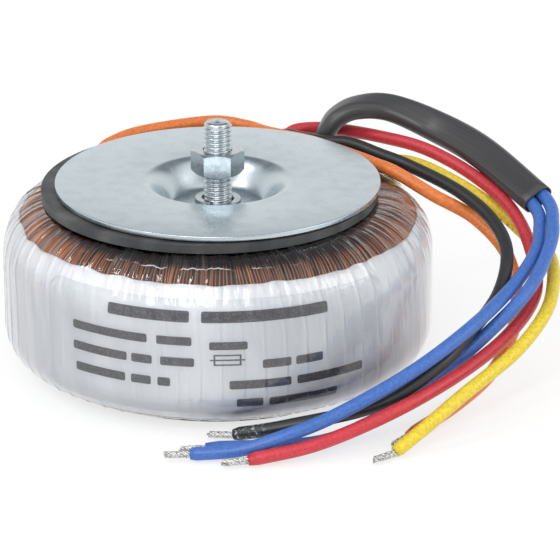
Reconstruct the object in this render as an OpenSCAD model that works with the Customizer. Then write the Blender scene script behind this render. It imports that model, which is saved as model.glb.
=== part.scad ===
// Toroidal mains transformer of about 25 VA, standing on its lower rubber pad, with its centre
// mounting hardware put together and its six flying leads swept round to the front.
// Millimetres, +Z up, the axis of the ring is the Z axis and the surface it stands on is z = 0.

/* [Core] */
// Outer diameter of the wound steel strip
core_od = 59; // [56:0.5:60]
// Inner diameter of the wound steel strip
core_id = 36; // [35:0.5:40]
// Width of the steel strip, which is the height of the core
core_h = 16.8; // [14:0.2:17.2]
// Thickness of the insulating wrap round the core
core_wrap_t = 0.4; // [0.2:0.1:0.6]

/* [Windings] */
// Build of the primary winding on the outside of the ring
primary_outer_t = 3.9; // [3.8:0.1:4.2]
// Build of the primary winding in the hole, where the turns crowd
primary_inner_t = 3.4; // [2.6:0.1:3.6]
// Build of the primary winding on the flat faces
primary_flat_t = 2; // [1.6:0.1:2.2]
// Thickness of the insulation between the windings
barrier_t = 0.3; // [0.2:0.1:0.5]
// Thickness of the secondary winding, from its seat to the crest of a turn
secondary_t = 1.7; // [1.2:0.1:2]
// Height of a crest over the groove beside it
turn_ridge = 0.3; // [0.1:0.1:0.5]
// Number of bundles of turns round the ring
turn_count = 72; // [48:4:72]

/* [Thermal fuse] */
// Diameter of the thermal fuse
fuse_d = 2.6; // [2:0.1:2.8]
// Length of the thermal fuse
fuse_len = 8; // [6:0.5:9]
// Direction of the thermal fuse seen from the axis, in degrees
fuse_angle = 55; // [0:5:355]

/* [Outer wrap] */
// Thickness of the clear outer film under its folds
film_t = 0.35; // [0.3:0.05:0.6]
// Height of the overlapping tape folds
fold_h = 0.35; // [0.1:0.05:0.45]
// Number of tape turns round the ring
fold_count = 64; // [40:4:72]
// Thickness of the white band round the outer wall
band_t = 0.25; // [0.15:0.05:0.4]
// Height of the band's upper edge over its lower edge
band_h = 22; // [12:0.2:23]
// Thickness of the rating label
label_t = 0.15; // [0.1:0.05:0.2]
// Height of the rating label
label_h = 19; // [8:0.5:20]
// Angle that the rating label covers, in degrees
label_arc = 100; // [60:2:120]

/* [Mounting hardware] */
// Diameter of the dished mounting plate
dish_d = 56; // [50:1:58]
// Sheet thickness of the mounting plate
dish_t = 0.9; // [0.7:0.1:1.2]
// Diameter of the plate's cup at the top
cup_d = 26.2; // [25.6:0.1:26.4]
// Diameter of the flat floor of the cup
cup_floor_d = 15.8; // [15:0.1:16]
// Depth of the cup
cup_depth = 4.5; // [3.5:0.1:4.6]
// Diameter of the rubber pads
pad_d = 58; // [52:1:59]
// Thickness of the rubber pads
pad_t = 1.5; // [1:0.1:1.8]
// How far the loose upper pad lies off centre
pad_shift = 1.4; // [0:0.1:1.5]
// Thread diameter of the mounting bolt
bolt_d = 5; // [4:0.5:5]
// Length of the bolt under its head
bolt_len = 39.7; // [38:0.1:45]
// Width of the bolt head and nut across their flats
hex_af = 8; // [7:0.5:9]
// Height of the bolt head
head_h = 3.5; // [3:0.1:4]
// Height of the nut
nut_h = 4; // [3:0.1:4.7]
// Gap between the spring washer and the nut, which is not run down
nut_lift = 4.8; // [0.5:0.1:5]
// Outer diameter of the washer under the bolt head
washer_d = 12; // [10:0.5:13]
// Thickness of the washer under the bolt head
washer_t = 1; // [0.8:0.1:1.2]
// Outer diameter of the spring washer
spring_d = 8; // [7.5:0.1:9]
// Thickness of the spring washer
spring_t = 1.2; // [1:0.1:1.4]

/* [Leads] */
// Diameter of a lead over its insulation
lead_d = 2.3; // [1.8:0.1:2.3]
// Diameter of the bare twisted strands
strand_d = 1.2; // [0.8:0.1:1.5]
// Length of the bare strands
strand_len = 5.2; // [3:0.2:6]
// Wall of the sleeve over the two primary leads
sleeve_wall = 0.25; // [0.2:0.05:0.3]

/* [Hidden] */
$fn = 96;

// Named clearances
layer_gap = 0.06;     // between the layers of the ring
seat_gap = 0.04;      // between a pad and the wrapped ring
bore_gap = 0.15;      // round the bolt in every hole but the nut's
thread_gap = 0.03;    // between the bolt and the nut's crests
pocket_gap = 0.15;    // round the thermal fuse's sleeve
sleeve_gap = 0.3;     // between the primary leads and their sleeve
plate_float = 0.2;    // between the plate's flat rim and the pad, which its cup holds off
lead_gap = 0.1;       // between a lead and its bare strands

// Sections of the ring, from the core outwards: [[inner radius, outer radius, bottom, top],
// roundings on the hole side, the outer top and the outer bottom]
fillet_steps = 4;
core_corner = 0.6;
wrap_round = [1, 1, 1];
primary_round = [1.9, 6.5, 2.9];
ring_build = core_wrap_t + primary_flat_t + barrier_t + secondary_t + band_t + label_t + film_t
             + 6 * layer_gap + fold_h;
ring_z0 = pad_t + seat_gap;
core_z = ring_z0 + ring_build;
core_box = [core_id / 2, core_od / 2, core_z, core_z + core_h];
ring_mid = core_z + core_h / 2;
ring_mean_r = (core_od + core_id) / 4;
wrap_section = [grown(core_box, core_wrap_t, core_wrap_t, core_wrap_t), wrap_round];
primary_seat = outset(wrap_section, layer_gap);
primary_section = [grown(primary_seat[0], primary_inner_t, primary_outer_t, primary_flat_t),
                   primary_round];
barrier_seat = outset(primary_section, layer_gap);
barrier_section = outset(barrier_seat, barrier_t);
secondary_seat = outset(barrier_section, layer_gap);
secondary_section = outset(secondary_seat, secondary_t);
band_seat = outset(secondary_section, layer_gap);
band_section = outset(band_seat, band_t);
label_seat = outset(band_section, layer_gap);
label_section = outset(label_seat, label_t);
film_seat = outset(label_section, layer_gap);
film_section = outset(film_seat, film_t);
ring_top = film_section[0][3] + fold_h;

// Mounting hardware, stacked from the surface up
head_washer_z = head_h;
dome_z = head_washer_z + washer_t + seat_gap;
dome_floor_r = washer_d / 2 + 0.8;
dome_rim_r = dome_floor_r + 6.5;
upper_pad_z = ring_top + seat_gap;
dish_z = upper_pad_z + pad_t + plate_float;
cup_z = dish_z - cup_depth;
spring_z = cup_z + dish_t;
nut_z = spring_z + spring_t + nut_lift;
bolt_tip = head_h + bolt_len;
dimple_z = cup_z - seat_gap - pad_t;
dimple_floor_r = cup_floor_d / 2 + 0.5;
dimple_rim_r = cup_d / 2 + 1.3;
bolt_hole_r = bolt_d / 2 + bore_gap;

// Routes of the leads
lead_r = lead_d / 2;
lead_sides = 8;
sleeve_sides = 12;
sleeve_route = [[18.7, 29.2, 29.9], [20.1, 29.7, 32], [24, 31.2, 33.8], [30, 31.8, 34.3],
                [38.5, 28.5, 32.5], [46.5, 19.5, 30.7], [55.6, 5.5, 26.9]];
// Half the step from the first primary lead to the second, at each point of the sleeve
pair_step = [[0, 1.1, -0.5], [-0.6, 1.1, -0.2], [-0.4, 0.9, 0.7], [0.1, 0.6, 1.1],
             [0.5, 0.5, 1], [0.8, 0.4, 0.9], [1, 0.4, 0.6]];
blue_1_free = [[55.5, -1.5, 23.5], [54, -8, 21.5], [49.5, -17, 19], [42, -27.5, 16],
               [32, -35.5, 11.5], [19.5, -41.5, 6.5], [10.5, -44.5, 3.9], [4, -44.8, 1.9],
               [-4, -45, 1.3]];
blue_2_free = [[57.7, -1.5, 25.1], [56.5, -8, 22.5], [52.5, -17.5, 19], [45.4, -23.2, 13.5],
               [36.5, -26.7, 6.5], [31, -30.5, 3.9], [25.5, -34.5, 2.2], [16, -40.5, 1.2],
               [-1.5, -42.5, 1.2]];
blue_1_route = concat([for (i = [0:len(sleeve_route) - 1]) sleeve_route[i] - pair_step[i]],
                      blue_1_free);
blue_2_route = concat([for (i = [0:len(sleeve_route) - 1]) sleeve_route[i] + pair_step[i]],
                      blue_2_free);
orange_route = [[-19.5, 25, 30.6], [-14, 30, 31], [-2, 35.4, 31], [4.5, 33.4, 32.1],
                [9.5, 28.6, 32.4], [17, 24.8, 30.8], [24, 18.8, 31], [31, 9.5, 30.5],
                [37.5, 7.5, 27], [45, 6, 23], [50.5, 1.5, 17.5], [51.5, -7, 10.5],
                [47.5, -17, 5], [41, -26, 2.3], [32, -37.5, 1.2]];
black_route = [[-1, 32.6, 29.7], [4.5, 32.6, 29.7], [9.5, 31.5, 30.4], [14, 29.3, 32],
               [19, 25.5, 33], [25, 23.2, 32.2], [34, 16, 29.2], [42, 8, 27.5],
               [47.5, 0, 25], [49.5, -8, 22], [47.5, -16, 17.5], [42.2, -25, 14.2],
               [36.8, -31.5, 11], [27, -36.3, 6.3], [12, -38, 3.2], [3, -37, 1.2]];
yellow_route = [[24.5, 21.8, 29.8], [28.5, 24, 27.8], [35, 22.5, 27.5], [43, 15.5, 25.8],
                [49.5, 11, 22.5], [54, 7, 19.5], [57.5, 0, 18.5], [57.5, -8.5, 16.5],
                [55.5, -17, 14.5], [50, -26, 11.3], [41, -35, 7.5], [34.5, -40.5, 4],
                [29.5, -44, 1.2]];
red_route = [[11.5, 32.6, 28.9], [14, 34, 30], [20, 35, 29.8], [29, 29, 30.3], [37, 23.5, 29.8],
             [45, 16.8, 27.3], [51, 8, 24.5], [54, -1, 20.5], [54.5, -9, 15.5], [50, -19, 12.5],
             [42, -28.5, 9.5], [30, -38.5, 6.3], [17, -44.5, 2.9], [5.5, -47.2, 1.2]];

// ---------------------------------------------------------------- sections

// A section box grown into the hole, outwards and on both flat faces
function grown(b, hole, out, flat) = [b[0] - hole, b[1] + out, b[2] - flat, b[3] + flat];

// A section set out parallel to itself by g
function outset(s, g) = [grown(s[0], g, g, g), [for (r = s[1]) r + g]];

// Quarter arc of radius r round c, from angle a0
function quarter(c, r, a0) =
    [for (i = [0:fillet_steps]) c + r * [cos(a0 + 90 * i / fillet_steps),
                                         sin(a0 + 90 * i / fillet_steps)]];

// Outline of a section, anticlockwise from the outer bottom corner
function ring_outline(s) =
    let (b = s[0], hole = s[1][0], top = s[1][1], bottom = s[1][2])
    concat(quarter([b[1] - bottom, b[2] + bottom], bottom, -90),
           quarter([b[1] - top, b[3] - top], top, 0),
           quarter([b[0] + hole, b[3] - hole], hole, 90),
           quarter([b[0] + hole, b[2] + hole], hole, 180));

// Unit normal that points out of an anticlockwise closed outline at point i
function outline_normal(p, i) =
    let (n = len(p), d = p[(i + 1) % n] - p[(i + n - 1) % n])
    [d[1], -d[0]] / norm(d);

// Outline of a strip of thickness t above an open mid line p
function strip_outline(p, t) =
    concat(p, [for (i = [len(p) - 1:-1:0]) p[i] + t * strip_normal(p, i)]);
function strip_normal(p, i) =
    let (a = p[max(i - 1, 0)], b = p[min(i + 1, len(p) - 1)], d = (b - a) / norm(b - a))
    [-d[1], d[0]] * sign(d[0]);

// Pressed line from r0 to r2: level at z0 up to ra, then an S bend to z1 at rb, then level
function pressed_line(r0, ra, rb, r2, z0, z1, n = 12) =
    concat([[r0, z0]],
           [for (i = [0:n]) [ra + (rb - ra) * i / n, z0 + (z1 - z0) * (1 - cos(180 * i / n)) / 2]],
           [[r2, z1]]);

module ring_shell(outer, inner) {
    rotate_extrude() difference() {
        polygon(ring_outline(outer));
        polygon(ring_outline(inner));
    }
}

// What lies between two sections over a height, on the outside of the ring and over an arc
module wall_layer(outer, inner, z, h, arc = 360) {
    rotate(-90 - arc / 2) rotate_extrude(angle = arc) intersection() {
        difference() {
            polygon(ring_outline(outer));
            polygon(ring_outline(inner));
        }
        translate([ring_mean_r, z]) square([outer[0][1], h]);
    }
}

// Closed ring whose section is lifted along its normal by a height that depends on the turn:
// count turns, each with a crest and a groove; lean turns the upper face against the lower one
module wound_ring(outline, count, height, lean) {
    n = len(outline);
    steps = 2 * count;
    points = [for (k = [0:steps - 1], i = [0:n - 1])
        let (lift = (k % 2 == 0) ? height : 0,
             p = outline[i] + lift * outline_normal(outline, i),
             a = 360 * (k + lean * sin(360 * i / n)) / steps)
        [p[0] * cos(a), p[0] * sin(a), p[1]]];
    faces = [for (k = [0:steps - 1], i = [0:n - 1])
        let (k1 = (k + 1) % steps, i1 = (i + 1) % n)
        each [[k * n + i, k * n + i1, k1 * n + i1], [k * n + i, k1 * n + i1, k1 * n + i]]];
    polyhedron(points, faces, convexity = 6);
}

// ---------------------------------------------------------------- swept leads

function unit(v) = v / norm(v);

function tangent(p, i) = unit(p[min(i + 1, len(p) - 1)] - p[max(i - 1, 0)]);

// A direction carried along the route, square to it at every point
function carried(p, i) =
    let (t = tangent(p, i), u = (i == 0) ? [0.1, 0.2, 1] : carried(p, i - 1))
    unit(u - (u * t) * t);

// Ring of points round c, square to u x v
function loop(c, u, v, r, sides) =
    [for (j = [0:sides - 1])
        c + r * cos(360 * j / sides) * u + r * sin(360 * j / sides) * v];

// Closed solid through loops of points, with flat ends
module tube(loops) {
    n = len(loops[0]);
    last = len(loops) - 1;
    points = [for (l = loops, p = l) p];
    sides = [for (k = [0:last - 1], j = [0:n - 1])
        let (a = k * n + j, b = k * n + (j + 1) % n)
        each [[a, b + n, b], [a, a + n, b + n]]];
    polyhedron(points, concat(sides, [[for (j = [0:n - 1]) j],
                                      [for (j = [n - 1:-1:0]) last * n + j]]), convexity = 8);
}

module lead(route, r) {
    tube([for (i = [0:len(route) - 1])
        let (t = tangent(route, i), u = carried(route, i))
        loop(route[i], u, cross(t, u), r, lead_sides)]);
}

// Bare strands in line with the end of a lead, twisted into a slightly tapered bundle
module strands(route) {
    last = len(route) - 1;
    t = unit(route[last] - route[last - 1]);
    u = unit([0, 0, 1] - t[2] * t);
    v = cross(t, u);
    turns = 4;
    flat = [t[0], t[1], 0] / norm([t[0], t[1], 0]);
    tube([for (k = [0:turns])
        let (c = route[last] + lead_gap * t + k / turns * strand_len * flat,
             r = strand_d / 2 * (1 - 0.25 * k / turns), a = 50 * k)
        [for (j = [0:lead_sides - 1])
            let (b = 360 * j / lead_sides + a)
            c + r * (0.85 + 0.15 * cos(4 * (b - a))) * (cos(b) * u + sin(b) * v)]]);
}

// Loops of the flat sleeve at distance g round the pair of primary leads: half circles
// joined by flats
function sleeve_loops(g, overrun) =
    [for (i = [0:len(sleeve_route) - 1])
        let (t = tangent(sleeve_route, i),
             step = pair_step[i] - (pair_step[i] * t) * t,
             end = (i == 0) ? -overrun : (i == len(sleeve_route) - 1) ? overrun : 0,
             c = sleeve_route[i] + end * t,
             u = (lead_r + g) * unit(step),
             v = cross(t, u))
        [for (j = [0:sleeve_sides - 1])
            let (a = 360 * (j + 0.5) / sleeve_sides)
            c + sign(cos(a)) * step + cos(a) * u + sin(a) * v]];

// ---------------------------------------------------------------- the ring

module core() {
    color([0.45, 0.46, 0.48])
    rotate_extrude() difference() {
        translate([core_box[0], core_box[2]]) square([core_box[1] - core_box[0], core_h]);
        for (r = [core_box[0], core_box[1]], z = [core_box[2], core_box[3]])
            translate([r, z]) rotate(45) square(core_corner, center = true);
    }
}

module core_wrap() {
    color([0.92, 0.9, 0.8])
    rotate_extrude() difference() {
        polygon(ring_outline(wrap_section));
        translate([core_box[0] - layer_gap, core_box[2] - layer_gap])
            square([core_box[1] - core_box[0] + 2 * layer_gap, core_h + 2 * layer_gap]);
    }
}

// The thermal fuse stands on end in a pocket of the primary winding
fuse_r = primary_seat[0][1] + primary_outer_t / 2;
fuse_wire_r = 0.4;
fuse_sleeve_t = 0.25;
fuse_sleeve_len = fuse_len + 4;
fuse_sleeve_bore = fuse_d + 0.1;

module at_fuse() {
    rotate(fuse_angle) translate([fuse_r, 0, ring_mid]) children();
}

module primary_winding() {
    color([0.72, 0.38, 0.2])
    difference() {
        ring_shell(primary_section, primary_seat);
        at_fuse() cylinder(r = fuse_sleeve_bore / 2 + fuse_sleeve_t + pocket_gap,
                           h = fuse_sleeve_len + 2 * pocket_gap, center = true);
    }
}

module thermal_fuse() {
    color([0.85, 0.82, 0.7])
    at_fuse() union() {
        cylinder(d = fuse_d, h = fuse_len, center = true);
        cylinder(r = fuse_wire_r, h = fuse_sleeve_len - 2 * pocket_gap, center = true);
    }
}

module fuse_sleeve() {
    color([0.95, 0.95, 0.9])
    at_fuse() difference() {
        cylinder(d = fuse_sleeve_bore + 2 * fuse_sleeve_t, h = fuse_sleeve_len, center = true);
        cylinder(d = fuse_sleeve_bore, h = fuse_sleeve_len + 2, center = true);
    }
}

module winding_barrier() {
    color([0.95, 0.85, 0.35])
    ring_shell(barrier_section, barrier_seat);
}

module secondary_winding() {
    color([0.78, 0.42, 0.22])
    difference() {
        wound_ring(ring_outline(outset(secondary_section, -turn_ridge)), turn_count, turn_ridge, 1.5);
        rotate_extrude() polygon(ring_outline(secondary_seat));
    }
}

module side_band() {
    color([0.95, 0.96, 0.97])
    wall_layer(band_section, band_seat, ring_mid - band_h / 2, band_h);
}

module rating_label() {
    color([0.82, 0.83, 0.84])
    wall_layer(label_section, label_seat, ring_mid - label_h / 2, label_h, label_arc);
}

// Clear tape wound through the hole: every turn laps the one before it
module film_wrap() {
    color([0.9, 0.92, 0.95, 0.5])
    difference() {
        wound_ring(ring_outline(film_section), fold_count, fold_h, 1);
        rotate_extrude() polygon(ring_outline(film_seat));
    }
}

// ---------------------------------------------------------------- the mounting hardware

module lower_pad() {
    color([0.2, 0.21, 0.21])
    rotate_extrude()
        polygon(strip_outline(pressed_line(bolt_hole_r, dome_floor_r, dome_rim_r, pad_d / 2,
                                           dome_z, 0), pad_t));
}

// Pressed down into the hole by the cup of the plate; its rim lies off centre
module upper_pad() {
    seam_r = dimple_rim_r + 0.5;
    color([0.2, 0.21, 0.21])
    union() {
        rotate_extrude()
            polygon(strip_outline(pressed_line(bolt_hole_r, dimple_floor_r, dimple_rim_r, seam_r,
                                               dimple_z, upper_pad_z), pad_t));
        translate([0, 0, upper_pad_z]) difference() {
            translate([-pad_shift, 0, 0]) cylinder(d = pad_d, h = pad_t);
            translate([0, 0, -1]) cylinder(r = seam_r, h = pad_t + 2);
        }
    }
}

module mounting_plate() {
    color([0.76, 0.82, 0.84])
    rotate_extrude()
        polygon(strip_outline(pressed_line(bolt_hole_r, cup_floor_d / 2, cup_d / 2, dish_d / 2,
                                           cup_z, dish_z), dish_t));
}

// Hexagon of height h with its corners chamfered on the marked ends
module hexagon(h, top, bottom) {
    corner_r = hex_af / 2 / cos(30);
    cut = (corner_r - hex_af / 2) * tan(30);
    flat_r = hex_af / 2;
    intersection() {
        cylinder(r = corner_r, h = h, $fn = 6);
        rotate_extrude() polygon([[0, 0], [bottom ? flat_r : corner_r, 0],
                                  [corner_r, bottom ? cut : 0], [corner_r, top ? h - cut : h],
                                  [top ? flat_r : corner_r, h], [0, h]]);
    }
}

module bolt() {
    tip_cut = bolt_d * 0.14;
    color([0.8, 0.84, 0.86])
    union() {
        hexagon(head_h, false, true);
        cylinder(d = bolt_d, h = bolt_tip - tip_cut);
        translate([0, 0, bolt_tip - tip_cut])
            cylinder(d1 = bolt_d, d2 = bolt_d - 2 * tip_cut, h = tip_cut);
    }
}

module head_washer() {
    color([0.8, 0.84, 0.86])
    translate([0, 0, head_washer_z]) difference() {
        cylinder(d = washer_d, h = washer_t);
        translate([0, 0, -1]) cylinder(r = bolt_hole_r, h = washer_t + 2);
    }
}

module spring_washer() {
    slot_w = spring_t;
    color([0.8, 0.84, 0.86])
    translate([0, 0, spring_z]) difference() {
        cylinder(d = spring_d, h = spring_t);
        translate([0, 0, -1]) cylinder(r = bolt_hole_r, h = spring_t + 2);
        rotate(-105) translate([0, -slot_w / 2, -1]) cube([spring_d, slot_w, spring_t + 2]);
    }
}

module nut() {
    color([0.8, 0.84, 0.86])
    translate([0, 0, nut_z]) difference() {
        hexagon(nut_h, true, true);
        translate([0, 0, -1]) cylinder(d = bolt_d + 2 * thread_gap, h = nut_h + 2);
    }
}

// ---------------------------------------------------------------- the leads

// Flat sleeve over the pair of primary leads
module primary_sleeve() {
    color([0.24, 0.24, 0.25])
    difference() {
        tube(sleeve_loops(sleeve_gap + sleeve_wall, 0));
        tube(sleeve_loops(sleeve_gap, 0.5));
    }
}

module lead_blue_1() { color([0.22, 0.42, 0.78]) lead(blue_1_route, lead_r); }
module lead_blue_2() { color([0.22, 0.42, 0.78]) lead(blue_2_route, lead_r); }
module lead_red() { color([0.78, 0.2, 0.24]) lead(red_route, lead_r); }
module lead_black() { color([0.18, 0.19, 0.2]) lead(black_route, lead_r); }
module lead_yellow() { color([0.92, 0.8, 0.2]) lead(yellow_route, lead_r); }
module lead_orange() { color([0.88, 0.48, 0.2]) lead(orange_route, lead_r); }

module strands_blue_1() { color([0.8, 0.8, 0.78]) strands(blue_1_route); }
module strands_blue_2() { color([0.8, 0.8, 0.78]) strands(blue_2_route); }
module strands_red() { color([0.8, 0.8, 0.78]) strands(red_route); }
module strands_black() { color([0.8, 0.8, 0.78]) strands(black_route); }
module strands_yellow() { color([0.8, 0.8, 0.78]) strands(yellow_route); }
module strands_orange() { color([0.8, 0.8, 0.78]) strands(orange_route); }

core();
core_wrap();
primary_winding();
thermal_fuse();
fuse_sleeve();
winding_barrier();
secondary_winding();
side_band();
rating_label();
film_wrap();
lower_pad();
upper_pad();
mounting_plate();
bolt();
head_washer();
spring_washer();
nut();
primary_sleeve();
lead_blue_1();
lead_blue_2();
lead_red();
lead_black();
lead_yellow();
lead_orange();
strands_blue_1();
strands_blue_2();
strands_red();
strands_black();
strands_yellow();
strands_orange();
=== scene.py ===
"""Toroidal transformer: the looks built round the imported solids, in metres and in the same frame.

The ring stands on its lower rubber pad at z = 0 with its axis on Z. The leads lie to +X and end
towards -Y, where the camera stands.
"""
import logging
import math
from dataclasses import dataclass, field, replace
from enum import Enum

import bpy
import numpy as np
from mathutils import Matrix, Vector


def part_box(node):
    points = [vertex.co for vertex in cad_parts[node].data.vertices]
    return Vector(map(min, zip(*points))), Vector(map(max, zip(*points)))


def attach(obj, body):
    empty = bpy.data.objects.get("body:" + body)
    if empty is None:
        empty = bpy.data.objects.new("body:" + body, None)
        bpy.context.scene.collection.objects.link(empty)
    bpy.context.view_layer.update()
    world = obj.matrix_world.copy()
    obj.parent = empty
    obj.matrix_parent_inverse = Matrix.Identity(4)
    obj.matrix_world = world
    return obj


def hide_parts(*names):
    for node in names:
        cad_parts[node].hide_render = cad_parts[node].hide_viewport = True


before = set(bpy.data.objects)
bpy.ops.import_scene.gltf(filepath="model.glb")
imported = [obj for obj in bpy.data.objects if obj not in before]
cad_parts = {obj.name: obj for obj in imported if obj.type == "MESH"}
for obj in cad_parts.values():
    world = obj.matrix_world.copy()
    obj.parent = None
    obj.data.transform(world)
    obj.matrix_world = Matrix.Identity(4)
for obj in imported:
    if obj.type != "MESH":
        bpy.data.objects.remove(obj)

MM = 0.001
TAU = 2 * math.pi
ROOT = "root"
log = logging.getLogger("transformer")


# ---------------------------------------------------------------- arrays and meshes


def smooth_step(x: np.ndarray, low: float, high: float) -> np.ndarray:
    """Rise from 0 at low to 1 at high as 3t^2 - 2t^3, level outside.

    Args:
        x: values to map.
        low: value where the rise starts.
        high: value where it ends.

    Returns:
        The mapped values, shaped like x.
    """
    t = np.clip((x - low) / (high - low), 0.0, 1.0)
    return t * t * (3 - 2 * t)


def unit(v: np.ndarray) -> np.ndarray:
    """Vectors of the last axis divided by their lengths."""
    return v / np.linalg.norm(v, axis=-1, keepdims=True)


def smooth_path(points: np.ndarray, per_leg: int) -> np.ndarray:
    """Catmull-Rom curve: on each leg, the cubic through its ends whose slope at a point is half
    the step between that point's neighbours.

    Args:
        points: route points, one row each.
        per_leg: samples on each leg between two points.

    Returns:
        The sampled curve, which ends on the last point.
    """
    p = np.vstack([2 * points[0] - points[1], points, 2 * points[-1] - points[-2]])
    t = np.linspace(0, 1, per_leg, endpoint=False)[None, :, None]
    a, b, c, d = (p[i:len(p) - 3 + i][:, None, :] for i in range(4))
    curve = 0.5 * (2 * b + (c - a) * t + (2 * a - 5 * b + 4 * c - d) * t ** 2
                   + (3 * b - a - 3 * c + d) * t ** 3)
    return np.vstack([curve.reshape(-1, points.shape[1]), points[-1:]])


def carried_frames(path: np.ndarray, up: np.ndarray) -> tuple[np.ndarray, np.ndarray]:
    """Two square axes across a path, turned about it as little as possible.

    Args:
        path: points of the path.
        up: direction that the first cross axis starts from.

    Returns:
        The two cross axes, one row for each point.
    """
    tangent = unit(np.gradient(path, axis=0))
    side = np.empty_like(path)
    for i, t in enumerate(tangent):
        up = unit(up - (up @ t) * t)
        side[i] = up
    return side, np.cross(tangent, side)


def distance_along(path: np.ndarray) -> np.ndarray:
    """Distance of each point of a path from its start, measured along the path."""
    return np.concatenate([[0], np.cumsum(np.linalg.norm(np.diff(path, axis=0), axis=1))])


def polar(r: np.ndarray, a: np.ndarray, z: np.ndarray | float) -> np.ndarray:
    """Points at radius r, angle a and height z, broadcast together."""
    return np.stack(np.broadcast_arrays(r * np.cos(a), r * np.sin(a), z), axis=-1)


def round_tube(path: np.ndarray, up: np.ndarray, radius: np.ndarray | float, steps: int
               ) -> np.ndarray:
    """Circles square to a path: centre plus radius times (cos a, sin a) on the two cross axes.

    Args:
        path: centre line.
        up: direction that the first cross axis starts from.
        radius: one for all, or one for each point.
        steps: points on each circle.

    Returns:
        Grid of points (path, steps, 3).
    """
    u, v = carried_frames(path, up)
    a = np.linspace(0, TAU, steps, endpoint=False)[None, :, None]
    ring = np.cos(a) * u[:, None] + np.sin(a) * v[:, None]
    return path[:, None] + np.reshape(radius, (-1, 1, 1)) * ring


def ripple(x: np.ndarray, y: np.ndarray, rng: np.random.Generator, waves: int,
           low: float, high: float) -> np.ndarray:
    """Smooth noise of about unit height: a sum of plane waves of random direction and phase.

    Args:
        x: first coordinate, in turns or metres.
        y: second coordinate, shaped to broadcast with x.
        rng: seeded generator.
        waves: number of waves in the sum.
        low: lowest spatial frequency.
        high: highest spatial frequency.

    Returns:
        The noise at each pair of coordinates.
    """
    total = np.zeros(np.broadcast(x, y).shape)
    for f, a, phase in zip(rng.uniform(low, high, waves), rng.uniform(0, TAU, waves),
                           rng.uniform(0, TAU, waves)):
        total += np.sin(TAU * f * (x * math.cos(a) + y * math.sin(a)) + phase)
    return total / math.sqrt(waves)


def grid_mesh(name: str, points: np.ndarray, close_u: bool = False, close_v: bool = False,
              caps: bool = False, smooth: bool = True, flip: bool = False,
              uv: np.ndarray | None = None, material: bpy.types.Material | None = None
              ) -> bpy.types.Object:
    """Object from a grid of points: each square of four neighbours is a face.

    Args:
        name: name of the object.
        points: array of shape (u, v, 3), in metres.
        close_u: joins the last row of u to the first.
        close_v: joins the last row of v to the first.
        caps: fills the first and last ring of u with one face each.
        smooth: shades the faces smooth.
        flip: turns the faces over.
        uv: array of shape (u, v, 2) for a UV map, or None.
        material: material of the object, or None.

    Returns:
        The new object, linked to the scene.
    """
    nu, nv = points.shape[:2]
    i = np.arange(nu if close_u else nu - 1)[:, None]
    j = np.arange(nv if close_v else nv - 1)[None, :]
    i1, j1 = (i + 1) % nu, (j + 1) % nv
    quads = np.stack(np.broadcast_arrays(i * nv + j, i1 * nv + j, i1 * nv + j1, i * nv + j1),
                     axis=-1).reshape(-1, 4)
    if flip:
        quads = quads[:, ::-1]
    faces = quads.tolist()
    if caps:
        first, last = list(range(nv)), list(range((nu - 1) * nv, nu * nv))
        faces += [first, last[::-1]] if flip else [first[::-1], last]
    mesh = bpy.data.meshes.new(name)
    mesh.from_pydata(points.reshape(-1, 3), [], faces)
    if uv is not None:
        layer = mesh.uv_layers.new(name="UVMap")
        corner = np.empty(len(mesh.loops), dtype=np.int32)
        mesh.loops.foreach_get("vertex_index", corner)
        layer.data.foreach_set("uv", uv.reshape(-1, 2)[corner].astype(np.float32).ravel())
    mesh.polygons.foreach_set("use_smooth", [smooth] * len(mesh.polygons))
    if caps:
        for face in mesh.polygons[-2:]:
            face.use_smooth = False
    mesh.update()
    obj = bpy.data.objects.new(name, mesh)
    bpy.context.scene.collection.objects.link(obj)
    if material is not None:
        mesh.materials.append(material)
    return obj


def join(name: str, parts: list[bpy.types.Object]) -> bpy.types.Object:
    """One object from several, by joining their meshes."""
    with bpy.context.temp_override(active_object=parts[0], selected_editable_objects=parts,
                                   selected_objects=parts, object=parts[0]):
        bpy.ops.object.join()
    parts[0].name = name
    parts[0].data.name = name
    return parts[0]


def revolve(profile: np.ndarray, columns: int) -> np.ndarray:
    """Closed profile of (radius, height) rows carried round a vertical axis.

    Args:
        profile: outline, anticlockwise when radius is drawn to the right.
        columns: number of steps round the axis.

    Returns:
        Grid of points (columns, rows, 3).
    """
    a = np.linspace(0, TAU, columns, endpoint=False)[:, None]
    return polar(profile[None, :, 0], a, profile[None, :, 1])


def rounded(profile: np.ndarray, radius: float, steps: int = 4) -> np.ndarray:
    """Closed outline with each sharp corner cut back by radius and bent as a parabola through
    the cut points; corners that turn by less than about 20 degrees stay.

    Args:
        profile: corner points of the outline.
        radius: distance that a corner is cut back along its sides.
        steps: points on each bend, less one.

    Returns:
        The rounded outline.
    """
    out = []
    for before, here, after in zip(np.roll(profile, 1, 0), profile, np.roll(profile, -1, 0)):
        back, on = before - here, after - here
        if unit(back) @ unit(on) < -0.94:
            out.append(here[None])
            continue
        a = here + unit(back) * min(radius, np.linalg.norm(back) / 2.1)
        b = here + unit(on) * min(radius, np.linalg.norm(on) / 2.1)
        t = np.linspace(0, 1, steps + 1)[:, None]
        out.append((1 - t) ** 2 * a + 2 * t * (1 - t) * here + t ** 2 * b)
    return np.vstack(out)


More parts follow.
